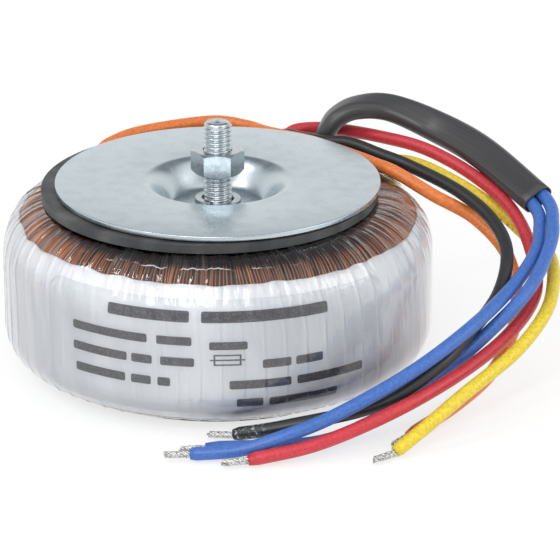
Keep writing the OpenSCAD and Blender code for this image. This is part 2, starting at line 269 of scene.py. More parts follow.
@dataclass(frozen=True)
class RingSection:
    """Rounded cross-section of one layer of the ring, sizes in metres.

    Attributes:
        hole: radius of the hole.
        outer: radius of the outer wall.
        bottom: height of the lower face.
        top: height of the upper face.
        hole_round: corner radius on the hole side.
        top_round: corner radius of the outer upper shoulder.
        bottom_round: corner radius of the outer lower shoulder.
    """

    hole: float
    outer: float
    bottom: float
    top: float
    hole_round: float
    top_round: float
    bottom_round: float

    def inset(self, d: float) -> "RingSection":
        """The section set in parallel to itself by d."""
        return RingSection(self.hole + d, self.outer - d, self.bottom + d, self.top - d,
                           self.hole_round - d, self.top_round - d, self.bottom_round - d)

    def rows(self, counts: tuple[int, ...]) -> np.ndarray:
        """Points round the outline, anticlockwise from the outer lower corner.

        Args:
            counts: points on the lower shoulder, outer wall, upper shoulder, upper face, upper
                hole corner, hole wall, lower hole corner and lower face.

        Returns:
            Rows of radius, height, outward normal (radius, height) and distance along the
            outline, which is 0 in the middle of the upper shoulder and grows inwards over it.
        """
        corners = ((self.outer - self.bottom_round, self.bottom + self.bottom_round,
                    self.bottom_round, -90),
                   (self.outer - self.top_round, self.top - self.top_round, self.top_round, 0),
                   (self.hole + self.hole_round, self.top - self.hole_round, self.hole_round, 90),
                   (self.hole + self.hole_round, self.bottom + self.hole_round,
                    self.hole_round, 180))
        arcs = []
        for (r, z, size, start), count in zip(corners, counts[::2]):
            a = np.radians(start + 90 * np.linspace(0, 1, count))
            arcs.append(np.stack([r + size * np.cos(a), z + size * np.sin(a),
                                  np.cos(a), np.sin(a)], axis=-1))
        out = []
        for i, count in enumerate(counts[1::2]):
            t = np.linspace(0, 1, count + 1, endpoint=False)[1:, None]
            start, end = arcs[i][-1], arcs[(i + 1) % 4][0]
            out += [arcs[i], (1 - t) * start + t * end]
        rows = np.vstack(out)
        along = distance_along(rows[:, :2])
        middle = counts[0] + counts[1] + (counts[2] - 1) / 2
        along -= np.interp(middle, np.arange(len(along)), along)
        return np.column_stack([rows, along])


# ---------------------------------------------------------------- shader graphs


class Graph:
    """Short way to write shader nodes into a tree."""

    def __init__(self, tree: bpy.types.NodeTree) -> None:
        """Keeps the tree that the nodes go into."""
        self.tree = tree

    @classmethod
    def of(cls, owner: bpy.types.Material | bpy.types.World) -> "Graph":
        """Graph of an owner's node tree, emptied."""
        owner.use_nodes = True
        owner.node_tree.nodes.clear()
        return cls(owner.node_tree)

    def add(self, kind: str, inputs: dict | None = None, **props: object) -> bpy.types.Node:
        """Adds a node.

        Args:
            kind: the node's type name.
            inputs: socket name or index to a value, or to a socket to link.
            props: attributes to set on the node.

        Returns:
            The new node.
        """
        node = self.tree.nodes.new(kind)
        for key, value in props.items():
            setattr(node, key, value)
        for key, value in (inputs or {}).items():
            self.feed(node.inputs[key], value)
        return node

    def feed(self, socket: bpy.types.NodeSocket, value: object) -> None:
        """Links a socket to another one, or sets its value."""
        if isinstance(value, bpy.types.NodeSocket):
            self.tree.links.new(value, socket)
        elif isinstance(value, tuple) and len(value) == 3 and socket.type == "RGBA":
            socket.default_value = (*value, 1.0)
        else:
            socket.default_value = value

    def math(self, operation: str, a: object, b: object = 0.5, c: object = 0.5
             ) -> bpy.types.NodeSocket:
        """Result of a Math node."""
        return self.add("ShaderNodeMath", {0: a, 1: b, 2: c}, operation=operation).outputs[0]

    def mix(self, factor: object, a: object, b: object) -> bpy.types.NodeSocket:
        """Colour between a at factor 0 and b at factor 1."""
        node = self.add("ShaderNodeMix", data_type="RGBA")
        self.feed(node.inputs[0], factor)
        self.feed(node.inputs[6], a)
        self.feed(node.inputs[7], b)
        return node.outputs[2]

    def between(self, value: object, low: float, high: float, to_low: float = 0.0,
                to_high: float = 1.0) -> bpy.types.NodeSocket:
        """Value mapped from low..high to to_low..to_high, held at the ends."""
        return self.add("ShaderNodeMapRange", {0: value, 1: low, 2: high, 3: to_low, 4: to_high},
                        interpolation_type="SMOOTHSTEP").outputs[0]

    def noise(self, vector: object, scale: float, detail: float = 2.0, rough: float = 0.5,
              distortion: float = 0.0) -> bpy.types.NodeSocket:
        """Value of a noise texture, around 0.5."""
        return self.add("ShaderNodeTexNoise", {"Vector": vector, "Scale": scale, "Detail": detail,
                                               "Roughness": rough, "Distortion": distortion}
                        ).outputs[0]

    def vector(self, x: object, y: object, z: object) -> bpy.types.NodeSocket:
        """Vector from three values."""
        return self.add("ShaderNodeCombineXYZ", {0: x, 1: y, 2: z}).outputs[0]

    def parts(self, vector: object) -> tuple[bpy.types.NodeSocket, ...]:
        """The three values of a vector."""
        return tuple(self.add("ShaderNodeSeparateXYZ", {0: vector}).outputs)

    def bump(self, height: object, strength: float, distance: float) -> bpy.types.NodeSocket:
        """Normal bent by a height."""
        return self.add("ShaderNodeBump", {"Height": height, "Strength": strength,
                                           "Distance": distance}).outputs[0]

    def product(self, first: object, *others: object) -> bpy.types.NodeSocket:
        """Values multiplied together."""
        for other in others:
            first = self.math("MULTIPLY", first, other)
        return first

    def blend(self, a: object, part_a: float, b: object, part_b: float) -> bpy.types.NodeSocket:
        """Sum of two values, each times its part."""
        return self.math("ADD", self.math("MULTIPLY", a, part_a),
                         self.math("MULTIPLY", b, part_b))

    def length(self, x: object, y: object) -> bpy.types.NodeSocket:
        """Square root of x squared plus y squared."""
        return self.math("SQRT", self.math("ADD", self.math("MULTIPLY", x, x),
                                           self.math("MULTIPLY", y, y)))

    def seen(self) -> bpy.types.NodeSocket:
        """1 for rays from the camera, off shiny surfaces and through clear ones, 0 for others."""
        path = self.add("ShaderNodeLightPath").outputs
        return self.math("MAXIMUM", path["Is Camera Ray"],
                         self.math("MAXIMUM", path["Is Glossy Ray"],
                                   path["Is Transmission Ray"]))

    def principled(self, colour: object, roughness: object, more: dict | None = None
                   ) -> bpy.types.NodeSocket:
        """Principled shader; more holds its further sockets."""
        return self.add("ShaderNodeBsdfPrincipled", {
            "Base Color": colour, "Roughness": roughness, **(more or {})}).outputs[0]

    def mix_shader(self, factor: object, a: object, b: object) -> bpy.types.NodeSocket:
        """Shader between a at factor 0 and b at factor 1."""
        return self.add("ShaderNodeMixShader", {0: factor, 1: a, 2: b}).outputs[0]

    def place(self) -> bpy.types.NodeSocket:
        """Object coordinates, in metres."""
        return self.add("ShaderNodeTexCoord").outputs["Object"]

    def uv(self) -> bpy.types.NodeSocket:
        """The piece's own UV map."""
        return self.add("ShaderNodeTexCoord").outputs["UV"]

    def group(self, tree: bpy.types.NodeTree, inputs: dict | None = None
              ) -> bpy.types.bpy_prop_collection:
        """Outputs of a node group placed in this tree."""
        return self.add("ShaderNodeGroup", inputs, node_tree=tree).outputs

    def streaks(self, count: float, length: float, lean: float = 0.0) -> bpy.types.NodeSocket:
        """Streaks round the ring, from the shared group."""
        return self.group(Effects.streaks(), {"Count": count, "Length": length,
                                              "Lean": lean})["Fac"]

    def grain(self, size: float) -> bpy.types.NodeSocket:
        """Speckle of a size in millimetres, from the shared group."""
        return self.group(Effects.grain(), {"Size": size})["Fac"]


class Effects:
    """Node groups that several finishes use, each made once."""

    made: dict[str, bpy.types.NodeTree] = {}

    @classmethod
    def _new(cls, name: str, inputs: dict[str, float], outputs: tuple[str, ...]
             ) -> tuple[Graph, bpy.types.Node, bpy.types.Node]:
        """Empty group with float sockets.

        Args:
            name: name of the group.
            inputs: socket names to default values.
            outputs: names of the output sockets.

        Returns:
            The graph, its input node and its output node.
        """
        tree = bpy.data.node_groups.new(name, "ShaderNodeTree")
        for key, value in inputs.items():
            socket = tree.interface.new_socket(key, in_out="INPUT", socket_type="NodeSocketFloat")
            socket.default_value = value
        for key in outputs:
            tree.interface.new_socket(key, in_out="OUTPUT", socket_type="NodeSocketFloat")
        cls.made[name] = tree
        return Graph(tree), tree.nodes.new("NodeGroupInput"), tree.nodes.new("NodeGroupOutput")

    @classmethod
    def ring_place(cls) -> bpy.types.NodeTree:
        """Place on the ring: turn as 0..1, radius and height in millimetres."""
        if "ring_place" in cls.made:
            return cls.made["ring_place"]
        g, _, out = cls._new("ring_place", {}, ("Turn", "Radius", "Height"))
        x, y, z = g.parts(g.place())
        turn = g.math("DIVIDE", g.math("ARCTAN2", y, x), TAU)
        g.feed(out.inputs["Turn"], turn)
        g.feed(out.inputs["Radius"], g.math("MULTIPLY", g.length(x, y), 1000))
        g.feed(out.inputs["Height"], g.math("MULTIPLY", z, 1000))
        return cls.made["ring_place"]

    @classmethod
    def streaks(cls) -> bpy.types.NodeTree:
        """Uneven upright streaks round the ring: noise drawn out along the height and the radius.

        Count is about how many there are round the ring, Length how far they run in millimetres.
        """
        if "streaks" in cls.made:
            return cls.made["streaks"]
        g, given, out = cls._new("streaks", {"Count": 120.0, "Length": 12.0, "Lean": 0.0},
                                 ("Fac",))
        turn, radius, height = g.group(cls.ring_place())
        run = g.math("DIVIDE", g.math("SUBTRACT", height, radius), given.outputs["Length"])
        leaned = g.math("MULTIPLY_ADD", run, given.outputs["Lean"], g.math("MULTIPLY", turn, TAU))
        reach = g.math("DIVIDE", given.outputs["Count"], TAU)
        vector = g.vector(g.math("MULTIPLY", g.math("COSINE", leaned), reach),
                          g.math("MULTIPLY", g.math("SINE", leaned), reach), run)
        g.feed(out.inputs["Fac"], g.noise(vector, 1.0, 3.0, 0.55, 0.3))
        return cls.made["streaks"]

    @classmethod
    def grain(cls) -> bpy.types.NodeTree:
        """Even speckle in all directions, Size in millimetres."""
        if "grain" in cls.made:
            return cls.made["grain"]
        g, given, out = cls._new("grain", {"Size": 0.3}, ("Fac",))
        scale = g.math("DIVIDE", 1000.0, given.outputs["Size"])
        g.feed(out.inputs["Fac"], g.noise(g.place(), scale, 4.0, 0.6))
        return cls.made["grain"]


class Finish:
    """Base of the finishes: a material made once for each set of values."""

    def material(self, name: str) -> bpy.types.Material:
        """Makes the material.

        Args:
            name: name of the material.

        Returns:
            The material, with this finish's nodes in it.
        """
        mat = bpy.data.materials.new(name)
        g = Graph.of(mat)
        g.add("ShaderNodeOutputMaterial", {"Surface": self.surface(g)})
        return mat

    def surface(self, g: Graph) -> bpy.types.NodeSocket:
        """Shader of the finish, written into the graph."""
        raise NotImplementedError


@dataclass(frozen=True)
class Copper(Finish):
    """Enamelled copper wire, with each turn a little lighter or darker than the next."""

    light: tuple[float, float, float] = (0.66, 0.25, 0.1)
    dark: tuple[float, float, float] = (0.26, 0.095, 0.048)
    # painted shade: near-black colour for the hollows between the turns
    groove_shade: tuple[float, float, float] = (0.016, 0.011, 0.01)
    # painted shadow of the pad and plate, on the turns beside the pad
    painted_pad_shade: tuple[float, float, float] = (0.02, 0.017, 0.018)
    roughness: float = 0.36

    def surface(self, g: Graph) -> bpy.types.NodeSocket:
        """Wire colour from the turn's own tint, with painted shade in the hollows between the turns
        and a painted shadow of the pad and plate on the turns beside the pad, strongest at the
        front.
        """
        tint = g.add("ShaderNodeAttribute", attribute_name="tint").outputs["Fac"]
        depth = g.add("ShaderNodeAttribute", attribute_name="depth").outputs["Fac"]
        patch = g.streaks(26.0, 60.0)
        shade = g.math("ADD", g.math("MULTIPLY", tint, 0.7),
                       g.between(patch, 0.35, 0.65, -0.15, 0.35))
        wire = g.mix(shade, self.dark, self.light)
        # painted shade: where a turn's crest falls away into the hollow next to it, its colour goes
        # to near black
        colour = g.mix(g.between(depth, 0.2, 0.85), self.groove_shade, wire)
        radius = g.group(Effects.ring_place())["Radius"]
        _, y, _ = g.parts(g.place())
        # painted shadow of the pad and plate: strong at the front and on the turns beside the pad,
        # weaker towards the back
        front = g.between(y, -24 * MM, -8 * MM, 0.92, 0.35)
        beside = g.between(g.math("ADD", radius, g.math("MULTIPLY", patch, 1.6)), 31.2, 33.2,
                           1.0, 0.0)
        colour = g.mix(g.math("MULTIPLY", front, beside), colour, self.painted_pad_shade)
        return g.principled(colour, self.roughness, {"Metallic": 0.5, "Specular IOR Level": 0.4})


@dataclass(frozen=True)
class ClearFilm(Finish):
    """Clear polyester tape: lets what is under it show, mirrors the light at its pleats."""

    haze: float = 0.05
    gloss: float = 1.5

    def surface(self, g: Graph) -> bpy.types.NodeSocket:
        """Transparent film, mixed with its mirror shine by angle and with white haze by place."""
        fine = g.streaks(420.0, 9.0, 0.02)
        broad = g.streaks(90.0, 16.0, 0.1)
        crumple = g.noise(g.place(), 420.0, 3.0, 0.6)
        height = g.math("ADD", g.math("MULTIPLY", fine, 0.35),
                        g.math("ADD", broad, g.math("MULTIPLY", crumple, 0.5)))
        normal = g.bump(height, 0.4, 0.35 * MM)
        facing = g.add("ShaderNodeFresnel", {"IOR": 1.5, "Normal": normal}).outputs[0]
        mirror = g.math("MULTIPLY", facing, self.gloss)
        shine = g.add("ShaderNodeBsdfGlossy", {"Color": (1.0, 1.0, 1.0), "Roughness": 0.06,
                                               "Normal": normal}).outputs[0]
        clear = g.add("ShaderNodeBsdfTransparent", {"Color": (0.985, 0.988, 0.992)}).outputs[0]
        white = g.principled((0.86, 0.88, 0.9), 0.22, {"Normal": normal})
        cloud = g.between(g.blend(broad, 0.6, fine, 0.4), 0.52, 0.72, 0.0, self.haze)
        return g.mix_shader(g.math("MAXIMUM", cloud, self._tape_edge(g)),
                            g.mix_shader(mirror, clear, shine), white)

    @staticmethod
    def _tape_edge(g: Graph) -> bpy.types.NodeSocket:
        """Mask of the wavy edge of a tape's end, a thin line at the front of the shoulder."""
        x, y, _ = g.parts(g.place())
        radius = g.group(Effects.ring_place())["Radius"]
        wave = g.noise(g.vector(x, 0.0, 0.0), 420.0, 3.0, 0.6)
        off = g.math("SUBTRACT", g.math("MULTIPLY_ADD", wave, -1.6, radius), 31.6)
        line = g.between(g.math("ABSOLUTE", off), 0.05, 0.13, 1.0, 0.0)
        broken = g.between(g.noise(g.place(), 260.0, 3.0, 0.6), 0.44, 0.6, 0.0, 0.55)
        return g.product(line, g.math("LESS_THAN", y, -20 * MM), broken,
                         g.between(x, -24 * MM, -19 * MM),
                         g.between(x, 8 * MM, 16 * MM, 1.0, 0.0))


@dataclass(frozen=True)
class Tape(Finish):
    """White polyester tape under the film, creased where it goes round the shoulder."""

    colour: tuple[float, float, float] = (0.9, 0.91, 0.925)
    shade: tuple[float, float, float] = (0.78, 0.8, 0.84)

    def surface(self, g: Graph) -> bpy.types.NodeSocket:
        """Satin white with soft upright shading."""
        broad = g.streaks(60.0, 22.0, 0.08)
        fine = g.streaks(300.0, 10.0)
        mixed = g.blend(broad, 0.7, fine, 0.3)
        colour = g.mix(g.between(mixed, 0.38, 0.62), self.shade, self.colour)
        return g.principled(colour, 0.42, {"Normal": g.bump(mixed, 0.35, 0.3 * MM)})


@dataclass(frozen=True)
class LabelStock(Finish):
    """Silver-grey label paper with faint fibres."""

    colour: tuple[float, float, float] = (0.82, 0.84, 0.86)
    shade: tuple[float, float, float] = (0.76, 0.785, 0.81)

    def surface(self, g: Graph) -> bpy.types.NodeSocket:
        """Matt grey, a little uneven."""
        broad = g.streaks(40.0, 30.0, 0.1)
        fibres = g.grain(0.25)
        mixed = g.blend(broad, 0.8, fibres, 0.2)
        colour = g.mix(g.between(mixed, 0.4, 0.6), self.shade, self.colour)
        return g.principled(colour, 0.5, {"Normal": g.bump(mixed, 0.2, 0.2 * MM)})


@dataclass(frozen=True)
class Ink(Finish):
    """Dark printing ink, thin enough for the stock to show a little."""

    colour: tuple[float, float, float] = (0.1, 0.105, 0.115)
    worn: tuple[float, float, float] = (0.2, 0.21, 0.225)

    def surface(self, g: Graph) -> bpy.types.NodeSocket:
        """Grey-black with lighter specks."""
        specks = g.grain(0.35)
        return g.principled(g.mix(g.between(specks, 0.45, 0.7), self.colour, self.worn), 0.55)


@dataclass(frozen=True)
class Rubber(Finish):
    """Dark sheet rubber with a fine even tooth and pale dust."""

    colour: tuple[float, float, float] = (0.028, 0.03, 0.031)
    dust: tuple[float, float, float] = (0.085, 0.09, 0.092)

    def surface(self, g: Graph) -> bpy.types.NodeSocket:
        """Matt dark grey."""
        tooth = g.grain(0.18)
        clouds = g.noise(g.place(), 160.0, 3.0)
        return g.principled(g.mix(g.between(clouds, 0.35, 0.75), self.colour, self.dust),
                            g.between(tooth, 0.3, 0.7, 0.42, 0.62),
                            {"Normal": g.bump(tooth, 0.25, 0.05 * MM)})


@dataclass(frozen=True)
class Zinc(Finish):
    """Bright zinc on steel: a soft mirror with a faint crystal mottle."""

    colour: tuple[float, float, float] = (0.58, 0.655, 0.69)
    shade: tuple[float, float, float] = (0.53, 0.605, 0.64)
    roughness: float = 0.26
    mottle: float = 3.0
    relief: float = 0.015

    def surface(self, g: Graph) -> bpy.types.NodeSocket:
        """Metal whose colour and roughness vary in patches."""
        patches = g.noise(g.place(), 1000.0 / self.mottle, 3.0, 0.55)
        fine = g.grain(0.12)
        both = g.blend(patches, 0.7, fine, 0.3)
        rough = g.between(both, 0.35, 0.65, self.roughness - 0.05, self.roughness + 0.07)
        return g.principled(g.mix(g.between(both, 0.3, 0.6), self.shade, self.colour), rough,
                            {"Metallic": 1.0, "Normal": g.bump(both, self.relief, 0.1 * MM)})


class Marks(Enum):
    """What a lead's insulation carries."""

    PLAIN = "plain"
    DASHES = "dashes"
    SCUFFS = "scuffs"


@dataclass(frozen=True)
class LeadSkin(Finish):
    """PVC insulation. The UV map's U runs along the lead and V round it, both in millimetres."""

    colour: tuple[float, float, float]
    marks: Marks = Marks.PLAIN
    length: float = 100.0

    def surface(self, g: Graph) -> bpy.types.NodeSocket:
        """Satin plastic, with dashes in a row or scuffs near the free end."""
        grain = g.grain(0.5)
        dim = tuple(c * 0.72 for c in self.colour)
        colour = g.mix(g.between(grain, 0.3, 0.7), dim, self.colour)
        along, around, _ = g.parts(g.uv())
        if self.marks is Marks.DASHES:
            colour = g.mix(self._dashes(g, along, around), colour, (0.12, 0.1, 0.03))
        if self.marks is Marks.SCUFFS:
            near_end = g.between(along, self.length - 7, self.length - 3, 0.0, 0.8)
            worn = g.between(g.noise(g.place(), 1400.0, 3.0, 0.7, 1.0), 0.56, 0.64)
            colour = g.mix(g.math("MULTIPLY", near_end, worn), colour, (0.5, 0.52, 0.54))
        return g.principled(colour, g.between(grain, 0.3, 0.7, 0.3, 0.42),
                            {"Normal": g.bump(grain, 0.1, 0.05 * MM)})

    @staticmethod
    def _dashes(g: Graph, along: object, around: object) -> bpy.types.NodeSocket:
        """Mask of a row of short strokes along the lead."""
        cell = g.math("DIVIDE", along, 1.45)
        gap = g.add("ShaderNodeTexWhiteNoise", {"W": g.math("FLOOR", cell)},
                    noise_dimensions="1D").outputs[0]
        width = g.math("MULTIPLY_ADD", gap, 0.35, 0.12)
        stroke = g.math("LESS_THAN", g.math("FRACT", cell), width)
        line = g.math("LESS_THAN", g.math("ABSOLUTE", g.math("SUBTRACT", around, 0.3)), 0.035)
        return g.product(stroke, line, g.math("GREATER_THAN", gap, 0.25), 0.7)


@dataclass(frozen=True)
class SleeveSkin(Finish):
    """Dark grey extruded sleeve, satin, with faint lines along it."""

    colour: tuple[float, float, float] = (0.035, 0.035, 0.037)
    dust: tuple[float, float, float] = (0.055, 0.055, 0.057)

    def surface(self, g: Graph) -> bpy.types.NodeSocket:
        """Dark plastic with a broad soft shine."""
        along, around, _ = g.parts(g.uv())
        lines = g.noise(g.vector(g.math("MULTIPLY", along, 0.03), g.math("MULTIPLY", around, 60.0),
                                 0.0), 1.0, 2.0)
        return g.principled(g.mix(g.between(lines, 0.3, 0.7), self.colour, self.dust), 0.33,
                            {"Normal": g.bump(lines, 0.1, 0.1 * MM)})


@dataclass(frozen=True)
class CutPlastic(Finish):
    """Freshly cut end of a sleeve, a little brown and uneven."""

    colour: tuple[float, float, float] = (0.1, 0.07, 0.055)

    def surface(self, g: Graph) -> bpy.types.NodeSocket:
        """Matt brown-grey."""
        grain = g.grain(0.2)
        dark = tuple(c * 0.4 for c in self.colour)
        return g.principled(g.mix(g.between(grain, 0.35, 0.65), dark, self.colour), 0.6)


@dataclass(frozen=True)
class Tinned(Finish):
    """Tinned copper strands: a bright metal with dull spots."""

    colour: tuple[float, float, float] = (0.7, 0.7, 0.68)
    dull: tuple[float, float, float] = (0.34, 0.33, 0.31)

    def surface(self, g: Graph) -> bpy.types.NodeSocket:
        """Metal with spots."""
        spots = g.grain(0.4)
        return g.principled(g.mix(g.between(spots, 0.35, 0.6), self.dull, self.colour),
                            g.between(spots, 0.3, 0.7, 0.22, 0.4), {"Metallic": 0.9})


@dataclass(frozen=True)
class StripSteel(Finish):
    """Edges of the wound core strip: fine rings round the axis."""

    colour: tuple[float, float, float] = (0.42, 0.43, 0.45)

    def surface(self, g: Graph) -> bpy.types.NodeSocket:
        """Steel with a ring at each layer of strip."""
        _, radius, _ = g.group(Effects.ring_place())
        ring = g.math("FRACT", g.math("DIVIDE", radius, 0.3))
        dark = tuple(c * 0.5 for c in self.colour)
        return g.principled(g.mix(g.between(ring, 0.0, 0.3), dark, self.colour), 0.4,
                            {"Metallic": 1.0})


@dataclass(frozen=True)
class PlainSkin(Finish):
    """Simple skin of a hidden piece, with a slight mottle."""

    colour: tuple[float, float, float]
    roughness: float = 0.35

    def surface(self, g: Graph) -> bpy.types.NodeSocket:
        """Plastic, paper or ceramic."""
        grain = g.grain(0.8)
        dim = tuple(c * 0.85 for c in self.colour)
        return g.principled(g.mix(g.between(grain, 0.3, 0.7), dim, self.colour), self.roughness)


# ---------------------------------------------------------------- camera, light, floor


@dataclass
class Studio:
    """Camera, lamps, world and floor.

    Attributes:
        target: point that the camera looks at.
        distance: from the target to the camera.
        elevation: of the camera above the horizon, in degrees.
        lens: focal length in millimetres on a 36 mm sensor.
    """

    target: tuple[float, float, float] = (0.0107, 0.0, 0.01406)
    distance: float = 0.6
    elevation: float = 21.55
    lens: float = 221.8

    def camera(self) -> None:
        """Camera in front of the object, looking along +Y and down."""
        e = math.radians(self.elevation)
        data = bpy.data.cameras.new("camera")
        data.sensor_width = 36
        data.lens = self.lens
        data.clip_start, data.clip_end = 0.05, 20
        cam = bpy.data.objects.new("camera", data)
        cam.location = (self.target[0], self.target[1] - self.distance * math.cos(e),
                        self.target[2] + self.distance * math.sin(e))
        cam.rotation_euler = (math.pi / 2 - e, 0, 0)
        bpy.context.scene.collection.objects.link(cam)
        bpy.context.scene.camera = cam

    def world(self) -> None:
        """Plain room light; the backdrop is white, with grey patches high at the back and
        behind the camera, and shows in the camera, in metal and through clear pieces."""
        world = bpy.data.worlds.new("room")
        g = Graph.of(world)
        _, y, z = g.parts(g.add("ShaderNodeTexCoord").outputs["Generated"])
        overhead = g.math("MULTIPLY", g.between(z, 0.42, 0.62), g.between(y, -0.1, 0.35))
        nearby = g.product(g.between(y, -0.95, -0.6, 0.8, 0.0), g.between(z, 0.4, 0.5, 1.0, 0.0),
                           g.math("GREATER_THAN", z, -0.2))
        backdrop = g.mix(g.math("MAXIMUM", overhead, nearby), (1.0, 1.0, 1.0), (0.26, 0.27, 0.3))
        colour = g.mix(g.seen(), (0.93, 0.935, 0.945), backdrop)
        back = g.add("ShaderNodeBackground", {"Color": colour, "Strength": 1.0})
        g.add("ShaderNodeOutputWorld", {"Surface": back.outputs[0]})
        bpy.context.scene.world = world

    def lamp(self, name: str, at: tuple[float, float, float], size: float, watts: float) -> None:
        """Square soft box aimed at the object.

        Args:
            name: name of the lamp.
            at: its place, in metres.
            size: side of the box, in metres.
            watts: its power.
        """
        data = bpy.data.lights.new(name, "AREA")
        data.shape, data.size, data.energy = "SQUARE", size, watts
        lamp = bpy.data.objects.new(name, data)
        lamp.location = at
        away = np.array(at) - np.array([0.005, 0.0, 0.02])
        flat = math.hypot(away[0], away[1])
        lamp.rotation_euler = (math.atan2(flat, away[2]), 0, math.atan2(away[1], away[0])
                               + math.pi / 2)
        bpy.context.scene.collection.objects.link(lamp)

    def floor(self) -> None:
        """Pale floor disc that fades into the white background and keeps the soft shadow."""
        rings = np.array([0.0001, 0.12, 0.24, 0.36, 0.5])
        a = np.linspace(0, TAU, 96, endpoint=False)[:, None]
        mat = bpy.data.materials.new("floor_white")
        g = Graph.of(mat)
        x, y, _ = g.parts(g.place())
        strength = g.between(g.seen(), 0.0, 1.0, 0.95, 1.0)
        glow = g.add("ShaderNodeEmission", {"Color": (1.0, 1.0, 1.0), "Strength": strength})
        matt = g.add("ShaderNodeBsdfDiffuse", {"Color": (0.93, 0.93, 0.93)})
        clear = g.add("ShaderNodeBsdfTransparent")
        faded = g.mix_shader(g.between(g.length(x, y), 0.1, 0.3),
                             g.mix_shader(0.3, glow.outputs[0], matt.outputs[0]),
                             clear.outputs[0])
        g.add("ShaderNodeOutputMaterial", {"Surface": faded})
        grid_mesh("floor", polar(rings, a, -0.05 * MM), close_u=True, smooth=False,
                           flip=True, material=mat)

    def build(self) -> None:
        """Lamps, world and floor."""
        self.world()
        self.lamp("front_box", (-0.12, -0.48, 0.36), 0.36, 1.4)
        self.lamp("left_spot", (-0.32, -0.12, 0.5), 0.1, 0.34)
        self.lamp("right_box", (0.45, -0.18, 0.28), 0.22, 0.35)
        self.floor()
        bpy.context.scene.view_settings.view_transform = "Standard"


def hand_in(piece: bpy.types.Object, node: str | None) -> None:
    """Puts a piece on the one body, in place of its solid.

    Args:
        piece: the new piece.
        node: the solid that it replaces, or None.
    """
    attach(piece, ROOT)
    if node is not None:
        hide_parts(node)
    log.info("%s: %d faces", piece.name, len(piece.data.polygons))


# ---------------------------------------------------------------- the leads


@dataclass
class Lead:
    """One insulated lead with its bare strands.

    Attributes:
        name: colour name of the lead.
        route: points that it follows, in millimetres.
        finish: its skin.
        sunk: step in millimetres from the first point back under the film.
        radius: of the insulation, in millimetres.
        strand_length: of the bare end, in millimetres.
        strand_radius: of each strand, in millimetres.
    """

    name: str
    route: np.ndarray
    finish: LeadSkin
    sunk: tuple[float, float, float]
    radius: float = 1.15
    strand_length: float = 5.2
    strand_radius: float = 0.21

    def tube(self) -> tuple[bpy.types.Object, np.ndarray]:
        """Round tube carried along the route, its free end slightly rounded.

        Returns:
            The tube and its centre line.
        """
        points = np.vstack([self.route[0] + np.array(self.sunk), self.route])
        path = smooth_path(points, 8) * MM
        along = distance_along(path)
        left = along[-1] - along
        edge = 0.25 * MM
        r = self.radius * MM - edge * (1 - np.sqrt(1 - (1 - np.clip(left / edge, 0, 1)) ** 2))
        steps = 20
        grid = round_tube(path, np.array([0.1, 0.2, 1.0]), r, steps)
        uv = np.stack(np.broadcast_arrays(along[:, None] / MM, np.arange(steps)[None] / steps),
                      axis=-1)
        mat = replace(self.finish, length=float(along[-1] / MM)).material(f"skin_{self.name}")
        tube = grid_mesh(f"{self.name}_insulation", grid, close_v=True, caps=True, uv=uv,
                         material=mat)
        return tube, path

    def strands(self, tinned: bpy.types.Material, rng: np.random.Generator
                ) -> bpy.types.Object:
        """Six strands twisted round a seventh, each a thin tube on a helix that narrows a little
        towards the tip and ends at its own length.

        Args:
            tinned: their material.
            rng: seeded generator.

        Returns:
            The bundle as one object.
        """
        t = unit(self.route[-1] - self.route[-2])
        flat = unit(np.array([t[0], t[1], 0.0]))
        k = np.linspace(0, 1, 34)
        centre = self.route[-1] + (k[:, None] * self.strand_length - 0.6) * flat
        centre[:, 2] = centre[:, 2] + t[2] * 0.6
        side = np.array([-flat[1], flat[0], 0.0])
        up = np.array([0.0, 0.0, 1.0])
        parts = []
        for i in range(7):
            spread = 0.0 if i == 6 else 0.4 * (1 + 0.15 * math.sin(3.0 * i)) * (1 - 0.12 * k)
            a = TAU * (i / 6 + 1.35 * k) + rng.uniform(-0.15, 0.15)
            line = (centre + (spread * np.cos(a))[:, None] * side
                    + (spread * np.sin(a))[:, None] * up)
            line = line[k <= 1.0 - 0.14 * rng.random()] * MM
            parts.append(grid_mesh(f"strand_{i}", round_tube(line, up, self.strand_radius * MM, 7),
                                   close_v=True, caps=True, material=tinned))
        return join(f"{self.name}_strands", parts)

    def build(self, tinned: bpy.types.Material, rng: np.random.Generator) -> None:
        tube, path = self.tube()
        bundle = self.strands(tinned, rng)
        hand_in(tube, f"lead_{self.name}")
        hand_in(bundle, f"strands_{self.name}")


